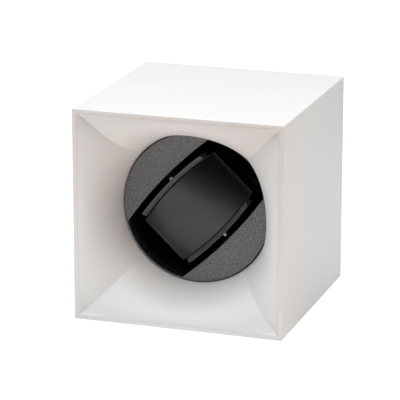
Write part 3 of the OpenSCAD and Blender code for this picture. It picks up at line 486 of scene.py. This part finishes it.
def rotorDisc(s):
    # a flat section with rounded edges, carried round between the two outlines along rays from the axis
    front, back = nodeDepths("rotor_face")
    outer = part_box("rotor_face")[1].x / mm
    inner, shift = outer - s["rim"], s["bow"] - s["slotHalf"]
    across = (s["bow"] ** 2 - inner**2 - shift**2) / (2 * shift)
    corner = math.asin(across / inner)  # where the bowed edge meets the end circle
    stops = [corner, math.pi - corner, math.pi + corner, 2 * math.pi - corner, 2 * math.pi + corner]
    spans = [np.linspace(a, b, s["steps"], endpoint=False) for a, b in zip(stops, stops[1:])]
    angle = np.concatenate(spans)[:, None]
    near, far = slotReach(s, angle, inner), outer
    e = s["edge"]
    roundIn, roundOut = arc((e, e), e, 180, 270, s["rounds"]), arc((e, e), e, 270, 360, s["rounds"])
    flat = np.linspace(0, 1, s["flatSteps"] + 1)[None, 1:-1]
    radius = np.concatenate(
        [
            near,
            near + roundIn[None, :, 0],
            near + e + (far - near - 2 * e) * flat,
            far - 2 * e + roundOut[None, :, 0] + 0 * near,
            far + 0 * near,
        ],
        axis=1,
    )
    depth = np.concatenate(
        [[back], front + roundIn[:, 1], np.full(flat.size, front), front + roundOut[:, 1], [back]]
    )
    points = slotPlace(radius * np.cos(angle), radius * np.sin(angle), depth[None, :])
    # the mark is 1 on the face and 0 on the slot's wall, which the finish paints near black as painted
    # shade
    share = np.ones(points.shape[:2])
    share[:, :s["paintedShadeColumns"]] = 0  # painted shade: the slot's wall is painted near black where it lies in shadow
    return points, gridFaces(points.shape[0], points.shape[1], True, True), share


discPoints, discFaces, discPaintedShadeMark = rotorDisc(rotorSet)
makePiece(
    "rotorDisc", [(discPoints, discFaces)], "rotor", "cheek_black", ["rotor_face"],
    marks={"faceNotPaintedShade": discPaintedShadeMark},
)


# Holder: two bowed rails on a base with two guide sleeves
holderSet = {
    "bow": 155.0, "railOut": 18.35, "railIn": 16.05, "railHalf": 22.0, "railFall": 1.9,
    "railEdge": 0.28, "railSunk": 0.5, "baseFront": 32.4, "baseBack": 34.6, "baseEdge": 0.3,
    "guideAt": 13.0, "guideOut": 3.15, "guideIn": 2.05, "guideBore": 1.58, "guideLip": 1.1,
    "guideSunk": 1.0, "steps": 40, "endSteps": 3, "edgeSteps": 4,
}
railFront, guideBack = nodeDepths("holder_frame")


def bowedHalf(along, half):
    # half width of a strip with bowed edges at a place along the slot
    shift = holderSet["bow"] - holderSet["railOut"]
    return np.sqrt((shift + half) ** 2 - along**2) - shift


def railShell(s, side):
    # a section with a sloped top, carried along the bow and drawn in a little at both ends
    foot, e = s["baseFront"] + s["railSunk"], s["railEdge"]
    corners = [(s["railIn"], foot), (s["railOut"], foot), (s["railOut"], railFront)]
    section = roundPolygon([*corners, (s["railIn"], railFront + s["railFall"])], e)
    turn = np.radians(np.linspace(0, 90, s["endSteps"] + 1))
    ends, drawn = e * (1 - np.cos(turn)), e * (1 - np.sin(turn))
    middle = np.linspace(-s["railHalf"] + e, s["railHalf"] - e, s["steps"] + 1)[1:-1]
    along = np.concatenate([ends - s["railHalf"], middle, s["railHalf"] - ends[::-1]])
    insets = np.concatenate([drawn, 0 * middle, drawn[::-1]])
    rings = []
    for spot, amount in zip(along, insets):
        across, depth = inset(section, amount).T
        rings.append(slotPlace(spot, side * bowedHalf(spot, across), depth))
    return np.stack(rings), tubeFaces(len(along), len(section))


def baseShell(s):
    # an outline of two bowed edges, carried through depth with rounded rims
    u = np.linspace(-s["railHalf"], s["railHalf"], s["steps"] // 2 + 1)
    edge = np.stack([u, bowedHalf(u, s["railOut"])], -1)
    outline = np.concatenate([edge, -edge])
    return extruded(outline, edgeProfile(s["baseFront"], s["baseBack"], s["baseEdge"]), slotPlace)


def guidePlace(s, side):
    # a guide's place on the slot's middle line
    return side * s["guideAt"] * math.cos(slotTurn), side * s["guideAt"] * math.sin(slotTurn)


def guideShell(s, side):
    # a turned sleeve with a lipped bore and a rounded rim
    back, out, bore, e = guideBack, s["guideOut"], s["guideBore"], s["baseEdge"]
    start, lipAt = s["baseBack"] - s["guideSunk"], back - s["guideLip"]
    lip = [(s["guideIn"], lipAt), (bore, lipAt), (bore, back - e), (bore + e, back)]
    rim = arc((out - e, back - e), e, 90, 0, s["edgeSteps"])
    return lathe([(s["guideIn"], start), *lip, *rim, (out, start)], *guidePlace(s, side), ring=True)


frameShells = [baseShell(holderSet)]
frameShells += [railShell(holderSet, side) for side in sides]
frameShells += [guideShell(holderSet, side) for side in sides]
makePiece("holderRails", frameShells, "holder", "holder_black", ["holder_frame"], smoothTo=50)


# Plate that the watch lies on, crowned and turned down at both ends
plateSet = {
    "crown": 92.0, "half": 26.5, "side": 15.85, "thick": 3.6, "leg": 12.0, "legIn": 22.2,
    "turn": 1.2, "turnIn": 0.6, "turnFrom": -75, "legGap": 0.6, "legInGap": 1.5, "shortIn": 1.0,
    "edge": 0.5, "steps": 40, "turnSteps": 7, "legSteps": 4,
}


def sag(u, radius):
    # fall of an arc of the given radius at a distance from its middle
    return radius - np.sqrt(radius**2 - u**2)


def barShell(outer, inner, side, edge, steps=6):
    # two contours (along, depth) run side by side; a rounded section spans them and the bowed width
    thick = np.linalg.norm(outer - inner, axis=1)[:, None]
    corner = np.repeat([(1, 1), (-1, 1), (-1, -1), (1, -1)], steps + 1, axis=0)  # that a point turns round
    turn = np.concatenate([arc((0, 0), edge, start, start + 90, steps) for start in (0, 90, 180, 270)])
    across = corner[None, :, 0] * (bowedHalf(outer[:, :1], side) - edge) + turn[None, :, 0]
    share = 0.5 - (corner[None, :, 1] * (thick / 2 - edge) + turn[None, :, 1]) / thick
    along = outer[:, :1] * (1 - share) + inner[:, :1] * share
    depth = outer[:, 1:] * (1 - share) + inner[:, 1:] * share
    return slotPlace(along, across, depth), tubeFaces(len(outer), len(corner))


def plateShell(s):
    # crowned top with turned-down legs, over a flat underside with legs of its own
    turnAt = s["half"] - s["turn"]
    u = np.linspace(-turnAt, turnAt, s["steps"] + 1)
    crown = np.stack([u, sag(u, s["crown"])], -1)
    crownIn = np.stack([u * (s["legIn"] - s["shortIn"]) / turnAt, np.full(len(u), s["thick"])], -1)

    def legOf(reach, turn, start, gap):
        corner = arc((reach - turn, start + turn), turn, s["turnFrom"], 0, s["turnSteps"])
        depth = np.linspace(start + turn + gap, s["leg"], s["legSteps"] + 1)
        return np.concatenate([corner, np.stack([np.full(len(depth), reach), depth], -1)])

    leg = legOf(s["half"], s["turn"], sag(turnAt, s["crown"]), s["legGap"])
    legIn = legOf(s["legIn"], s["turnIn"], s["thick"], s["legInGap"])
    crest = nodeDepths("holder_pad")[1] - s["leg"]  # the legs end where the solid's do
    flip, lift = np.array([-1, 1]), np.array([0, crest])
    outer = np.concatenate([leg[::-1] * flip, crown, leg]) + lift
    inner = np.concatenate([legIn[::-1] * flip, crownIn, legIn]) + lift
    return barShell(outer, inner, s["side"], s["edge"])


makePiece("holderPlate", [plateShell(plateSet)], "holder", "pad_black", ["holder_pad"], smoothTo=50)


# Bright pegs across the rails
pegSet = {
    "radius": 1.1, "inner": 16.55, "outer": 19.85, "edge": 0.35, "edgeSteps": 4, "facets": 32,
}


def pegShell(s, side):
    # a round bar across the slot with a rounded outer end
    r, e = s["radius"], s["edge"]
    end = arc((r - e, s["outer"] - e), e, 0, 90, s["edgeSteps"])
    radius, across = np.split(np.concatenate([[[r, s["inner"]]], end]), 2, axis=1)
    a = np.linspace(0, 2 * math.pi, s["facets"], endpoint=False)[None, :]
    middle = sum(nodeDepths("rest_pegs")) / 2
    points = slotPlace(radius * np.cos(a), side * across, middle + radius * np.sin(a))
    return points, tubeFaces(len(radius), s["facets"])


pegs = [pegShell(pegSet, side) for side in sides]
makePiece("crossPegs", pegs, "holder", "peg_steel", ["rest_pegs"])


# Springs round the guide sleeves, drawn at one length; on the real holder they shorten as the jaw is
# pressed
springSet = {"coil": 3.9, "wire": 0.9, "turns": 8, "clear": 0.1, "travel": 8.0}
jawFront = nodeDepths("holder_jaw")[0]
springFront, springBack = holderSet["baseBack"] + springSet["clear"], jawFront - springSet["clear"]


def springShell(s, side):
    # a coil of even radius on a guide's line
    x, up = guidePlace(holderSet, side)
    return coilTube(x, up, (s["coil"], s["coil"]), s["wire"], springFront, springBack, s["turns"])


coils = [springShell(springSet, side) for side in sides]
springs = makePiece("guideSprings", coils, "holder", "bright_steel", ["holder_springs"])
tuple(place(0, 0, springFront))
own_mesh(springs)


# Sprung jaw behind the holder, with a soft strip on its back
jawSet = {
    "thick": 6.0, "crown": 57.13, "half": 21.0, "side": 13.45, "edge": 0.6,
    "strip": 1.5, "stripGap": 0.03, "stripEdge": 0.65, "stripFill": 0.9, "steps": 40,
}


def jawShells(s):
    # the jaw has a flat front and a round back; the soft strip follows that back
    u = np.linspace(-s["half"], s["half"], s["steps"] + 1)
    crest = jawFront + s["thick"]
    front = np.stack([u, np.full(len(u), jawFront)], -1)
    back = np.stack([u, crest - sag(u, s["crown"])], -1)
    under = back + np.array([0, s["stripGap"]])
    over = np.stack([u, crest + s["strip"] - sag(u, s["crown"] + s["strip"])], -1)
    return barShell(front, back, s["side"], s["edge"]), barShell(under, over, s["side"], s["stripEdge"])


jawBlock, softStrip = jawShells(jawSet)
makePiece("jawBlock", [jawBlock], "holder_jaw", "holder_black", ["holder_jaw"], smoothTo=50)
jawStrip = makePiece("jawStrip", [softStrip], "holder_jaw", "jaw_soft", ["jaw_pad"], smoothTo=50)
print("rotor disc and holder made")


# Mode button: a flanged cap with a shallow dish in its face
buttonSet = {
    "flangeOut": 5.0, "flange": 1.5, "out": 4.0, "edge": 0.5, "edgeSteps": 5,
    "dish": [(2.4, 0.05), (1.6, 0.2), (0.8, 0.27), (0.1, 0.3)],  # radius and how deep it lies there
}


def buttonShell(s):
    # a turned profile: flange, side, rounded rim and dish
    low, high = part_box("mode_button")
    x, up = high.x / mm - s["flangeOut"], (low.z + high.z) / 2 / mm - axisZ
    front, back = nodeDepths("mode_button")
    e, out, step = s["edge"], s["out"], front + s["flange"]
    flange = [(s["flangeOut"], front), (s["flangeOut"], step), (out, step)]
    rim = arc((out - e, back - e), e, 0, 90, s["edgeSteps"])
    dish = [(radius, back - deep) for radius, deep in s["dish"]]
    return lathe([*flange, *rim, *dish], x, up)


makePiece("buttonCap", [buttonShell(buttonSet)], "mode_button", "button_black", ["mode_button"])
print("button made")


# Cells with bright ends in a dark wrap, and the coil contacts in front of them
cellSet = {
    "edge": 0.8, "lip": 1.2, "slope": 0.4, "sunk": 0.35, "nubRadius": 3.0, "nub": 1.5, "nubEdge": 0.6,
    "tip": 0.05, "wrap": 0.0, "steps": 64, "edgeSteps": 4,
}
coilSet = {"radii": (3.4, 7.0), "wire": 0.9, "turns": 3, "length": 3.4, "clear": 0.1}
cellLow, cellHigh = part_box("battery_cells")
cellFront, cellBack = nodeDepths("battery_cells")
cellRadius = (cellHigh.z - cellLow.z) / 2 / mm
cellOut, cellUp = cellHigh.x / mm - cellRadius, (cellLow.z + cellHigh.z) / 2 / mm - axisZ


def cellShell(s, side):
    # a turned profile up from the foot: sunk base, rolled wrap, sunk shoulder and nub; the mark is low
    # on the wrap, and the two cells lie opposite ways
    length, inner = cellBack - cellFront, cellRadius - s["lip"]
    shoulder, edge, nubEdge = length - s["nub"], s["edge"], s["nubEdge"]
    sunk, slope = shoulder - s["sunk"], inner - s["slope"]
    base = [(s["tip"], s["sunk"]), (slope, s["sunk"]), (inner, 0)]
    wrap = np.concatenate([
        arc((cellRadius - edge, edge), edge, -90, 0, s["edgeSteps"]),
        arc((cellRadius - edge, shoulder - edge), edge, 0, 90, s["edgeSteps"]),
    ])
    neck = [(inner, shoulder), (slope, sunk), (s["nubRadius"], sunk)]
    nub = arc((s["nubRadius"] - nubEdge, length - nubEdge), nubEdge, 0, 90, s["edgeSteps"])
    radius, rise = np.concatenate([base, wrap, neck, nub, [(s["tip"], length)]]).T
    share = np.ones(len(radius))
    share[len(base) - 1:len(base) + len(wrap) + 1] = s["wrap"]
    depth = cellFront + rise if side > 0 else cellBack - rise
    points, faces = lathe(np.stack([radius, depth], -1), cellOut * side, cellUp, s["steps"])
    return points, faces, np.repeat(share, s["steps"])


def contactCoil(s, side):
    # a tapered coil in front of a cell
    back = cellFront - s["clear"]
    return coilTube(cellOut * side, cellUp, s["radii"], s["wire"], back - s["length"], back, s["turns"])


cellShells = [cellShell(cellSet, side) for side in sides]
makePiece(
    "batteryCells", [shell[:2] for shell in cellShells], "case", "cell_wrap", ["battery_cells"],
    marks={"endShare": np.concatenate([shell[2] for shell in cellShells])},
)
cellCoils = [contactCoil(coilSet, side) for side in sides]
makePiece("cellCoils", cellCoils, "case", "bright_steel", ["cell_springs"], smoothTo=50)
print("cells made")


# Camera at the photograph's angle, fitted on the cube's corners; distance and shifts are in cube sides
cameraSet = {
    "azimuth": 18.5, "elevation": 16.25, "distance": 11.41, "right": -0.053, "up": -0.021,
    "focalPixels": 2433.0, "imagePixels": 400.0, "sensor": 36.0,
}


def addCamera(s):
    # stands back from the sleeve's middle along the view line, shifted a little across it
    a, e = math.radians(s["azimuth"]), math.radians(s["elevation"])
    back = Vector((math.sin(a) * math.cos(e), -math.cos(a) * math.cos(e), math.sin(e)))
    right = Vector((math.cos(a), math.sin(a), 0))
    away = back * s["distance"] + right * s["right"] + back.cross(right) * s["up"]
    data = bpy.data.cameras.new("photoCamera")
    data.sensor_width = s["sensor"]
    data.lens = s["sensor"] * s["focalPixels"] / s["imagePixels"]
    camera = bpy.data.objects.new("photoCamera", data)
    bpy.context.scene.collection.objects.link(camera)
    camera.location = (sleeveLow + sleeveHigh) / 2 + cubeSide * mm * away
    camera.rotation_euler = (-back).to_track_quat("-Z", "Y").to_euler()
    bpy.context.scene.camera = camera


addCamera(cameraSet)


# Studio: a pale floor and a dome that glow in soft patches, each with its place, its reach and its colour
studioSet = {
    "floor": (0.25, 0.25, 0.25), "floorRough": 0.9, "floorHalf": 6.0,
    "floorSeen": (0.95, 0.95, 0.95, 1.0), "domeSeen": (1.0, 1.0, 1.0, 1.0),
    "floorPatches": [
        {"at": (-0.15, -0.25, 0.0), "reach": (0.3, 0.05), "glow": (1.02, 1.02, 1.0)},
        {"at": (0.15, -0.25, 0.0), "reach": (0.3, 0.05), "glow": (0.46, 0.2, 0.12)},
        {"at": (0.35, 0.1, 0.0), "reach": (0.5, 0.1), "glow": (0.72, 0.8, 0.86)},
        {"at": (0.0, -0.1, 0.0), "reach": (0.11, 0.03), "glow": (0.42, 0.46, 0.48)},
    ],
    "domePatches": [
        {"at": (0.0, 0.0, 1.0), "reach": (0.6, 0.95), "glow": (2.68, 2.78, 2.93)},
        {"at": (-0.55, -0.6, 0.6), "reach": (0.7, 0.98), "glow": (0.28, 0.36, 0.4)},
        {"at": (0.55, -0.6, 0.6), "reach": (0.7, 0.98), "glow": (0.16, 0.12, 0.1)},
        {"at": (0.8, 0.5, 0.3), "reach": (0.8, 0.98), "glow": (0.75, 0.7, 0.6)},
    ],
}


def patchGlow(tree, where, measure, patches):
    # sum of the patches' colours, each growing from its outer reach to its inner one
    total = (0.0, 0.0, 0.0)
    for patch in patches:
        outer, inner = patch["reach"]
        span = addNode(tree, "ShaderNodeVectorMath", where, patch["at"], operation=measure).outputs["Value"]
        fade = addNode(
            tree, "ShaderNodeMapRange", span, interpolation_type="SMOOTHSTEP",
            From_Min=outer, From_Max=inner,
        ).outputs["Result"]
        added = addNode(tree, "ShaderNodeVectorMath", patch["glow"], fade, total, operation="MULTIPLY_ADD")
        total = added.outputs[0]
    return total


def seenPlain(tree, glow, plain):
    # plain to look at, the patches' glow to the box
    path = addNode(tree, "ShaderNodeLightPath")
    return mixColours(tree, path.outputs["Is Camera Ray"], glow, plain)


def addFloor(s):
    # one wide quad whose patches glow by their distance on it
    h = s["floorHalf"]
    mesh = bpy.data.meshes.new("floor")
    mesh.from_pydata([(-h, -h, 0), (h, -h, 0), (h, h, 0), (-h, h, 0)], [], [(0, 1, 2, 3)])
    floor = bpy.data.objects.new("floor", mesh)
    bpy.context.scene.collection.objects.link(floor)
    pale = finishOf("paleFloor", s["floor"], s["floorRough"], tone=0.0, Emission_Strength=1.0)
    tree = pale.node_tree
    where = addNode(tree, "ShaderNodeTexCoord").outputs["Object"]
    glow = seenPlain(tree, patchGlow(tree, where, "DISTANCE", s["floorPatches"]), s["floorSeen"])
    feed(tree, tree.nodes["Principled BSDF"].inputs["Emission Color"], glow)
    mesh.materials.append(pale)


def addDome(s):
    # a world whose patches glow by how near a ray runs to their direction
    world = bpy.data.worlds.new("softDome")
    world.use_nodes = True
    bpy.context.scene.world = world
    tree = world.node_tree
    where = addNode(tree, "ShaderNodeTexCoord").outputs["Generated"]
    patches = [{**patch, "at": Vector(patch["at"]).normalized()} for patch in s["domePatches"]]
    glow = seenPlain(tree, patchGlow(tree, where, "DOT_PRODUCT", patches), s["domeSeen"])
    feed(tree, tree.nodes["Background"].inputs["Color"], glow)


addFloor(studioSet)
addDome(studioSet)
bpy.context.scene.view_settings.view_transform = "Standard"
print("camera and studio set")
